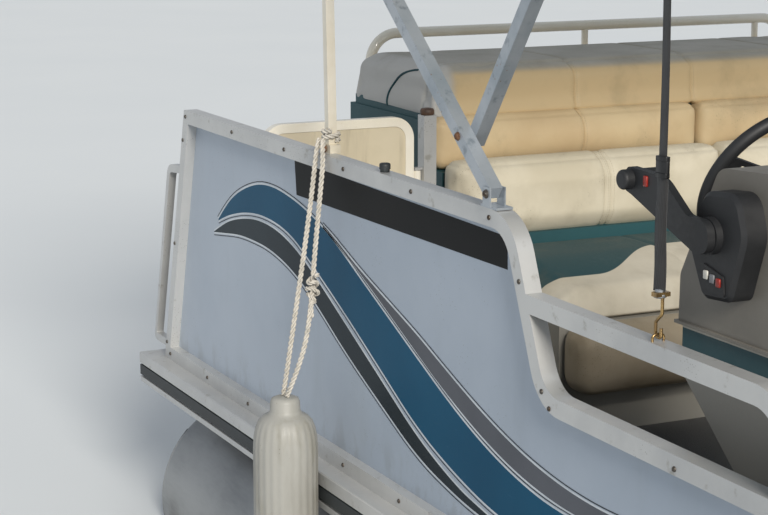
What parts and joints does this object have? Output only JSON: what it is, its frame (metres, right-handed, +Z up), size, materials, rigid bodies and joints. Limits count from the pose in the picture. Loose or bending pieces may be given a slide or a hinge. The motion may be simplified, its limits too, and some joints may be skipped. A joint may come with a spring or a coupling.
{
  "type": "pontoon boat",
  "caption": "Twin-tube pontoon boat with a carpeted deck, fenced sides with gates, stern lounge, starboard helm, folding canopy frame and outboard.",
  "frame": {"origin": "on the ground plane under the two keels, at the centre of the length and beam", "axes": "+X towards the bow, +Y to port, +Z up"},
  "size_m": [8.0252, 2.6003, 2.7482],
  "materials": {
    "tube_aluminium": "mill finish, weathered",
    "frame_aluminium": "brushed, clear anodised",
    "panel_paint": "satin pale blue-grey with stripes",
    "gate_panel": "satin tan",
    "gate_frame": "gloss white",
    "plywood": "treated marine plywood",
    "carpet": "dark grey loop pile",
    "black_rubber": "matt",
    "vinyl": "grained vinyl, tan, cream and teal",
    "seat_base": "moulded grey",
    "console": "taupe grey moulding",
    "black_plastic": "black",
    "webbing": "woven black webbing",
    "brass": "tarnished",
    "canopy_cloth": "woven acrylic",
    "outboard_paint": "gloss black",
    "outboard_alloy": "satin black",
    "fender_vinyl": "white vinyl, weathered",
    "rope": "three-strand, weathered"
  },
  "bodies": {
    "hull": {"pontoon_starboard": "tube_aluminium", "pontoon_port": "tube_aluminium", "deck_crossmembers": "tube_aluminium", "motor_pod": "tube_aluminium", "deck": "plywood", "deck_carpet": "carpet", "deck_edge": "frame_aluminium", "rub_rail": "black_rubber", "fence_starboard_frame": "frame_aluminium", "fence_port_frame": "frame_aluminium", "bow_fence_starboard_frame": "frame_aluminium", "bow_fence_port_frame": "frame_aluminium", "stern_fence_frame": "frame_aluminium", "fence_starboard_panel": "panel_paint", "fence_port_panel": "panel_paint", "bow_fence_starboard_panel": "panel_paint", "bow_fence_port_panel": "panel_paint", "stern_fence_panel": "panel_paint", "raised_stern_rail": "gate_frame", "stern_grab_handle": "frame_aluminium", "stern_gate_post": "frame_aluminium", "lounge_base": "seat_base", "lounge_front_roll": "vinyl", "lounge_seats": "vinyl", "lounge_lower_backs": "vinyl", "lounge_upper_backs": "vinyl", "lounge_top_pad": "vinyl", "bench_bases": "seat_base", "bench_seats": "vinyl", "bench_backs": "vinyl", "console_upper": "console", "console_lower": "console", "throttle_box": "black_plastic", "throttle_lever": "black_plastic", "bimini_aft_bow": "frame_aluminium", "bimini_forward_bow": "frame_aluminium", "bimini_mid_bow": "frame_aluminium", "bimini_posts": "frame_aluminium", "bimini_hinges": "frame_aluminium", "bimini_straps": "webbing", "bimini_hooks": "brass", "bimini_canopy": "canopy_cloth", "outboard_clamp": "outboard_alloy", "fender": "fender_vinyl", "fender_line": "rope", "fender_hitch": "rope"},
    "stern_gate": {"stern_gate_frame": "gate_frame", "stern_gate_panel": "gate_panel"},
    "bow_gate": {"bow_gate_frame": "gate_frame", "bow_gate_panel": "gate_panel"},
    "side_gate": {"side_gate_frame": "gate_frame", "side_gate_panel": "gate_panel"},
    "steering_wheel": {"steering_wheel": "black_plastic"},
    "outboard_mount": {"outboard_swivel": "outboard_alloy"},
    "outboard_motor": {"outboard_leg": "outboard_alloy", "outboard_pan": "outboard_alloy", "outboard_cowl": "outboard_paint"},
    "propeller": {"propeller": "outboard_alloy"}
  },
  "joints": [
    {"name": "stern_gate_hinge", "type": "hinge", "parent": "hull", "child": "stern_gate", "pos_m": [-1.8615, -0.663, 1.08], "axis": [0, 0, 1], "range_deg": [0, 90]},
    {"name": "bow_gate_hinge", "type": "hinge", "parent": "hull", "child": "bow_gate", "pos_m": [3.5225, 0.364, 1.08], "axis": [0, 0, 1], "range_deg": [-90, 0]},
    {"name": "side_gate_hinge", "type": "hinge", "parent": "hull", "child": "side_gate", "pos_m": [1.3805, 1.125, 1.08], "axis": [0, 0, 1], "range_deg": [0, 90]},
    {"name": "outboard_tilt", "type": "hinge", "parent": "hull", "child": "outboard_mount", "pos_m": [-3.1375, 0, 0.795], "axis": [0, 1, 0], "range_deg": [-55, 5]},
    {"name": "outboard_steer", "type": "hinge", "parent": "outboard_mount", "child": "outboard_motor", "pos_m": [-3.29593, 0, 0.75975], "axis": [0.8192, 0, 0.5736], "range_deg": [-30, 30]},
    {"name": "propeller_shaft", "type": "hinge", "parent": "outboard_motor", "child": "propeller", "pos_m": [-3.90797, 0, 0.70109], "axis": [0.5736, 0, -0.8192], "continuous": true},
    {"name": "steering_wheel_shaft", "type": "hinge", "parent": "hull", "child": "steering_wheel", "pos_m": [-0.2075, -0.67, 1.61], "axis": [-0.8796, 0, 0.4756], "range_deg": [-600, 600]}
  ],
  "couplings": [
    {"joint": "steering_wheel_shaft", "follows": "outboard_steer", "ratio": -20}
  ]
}
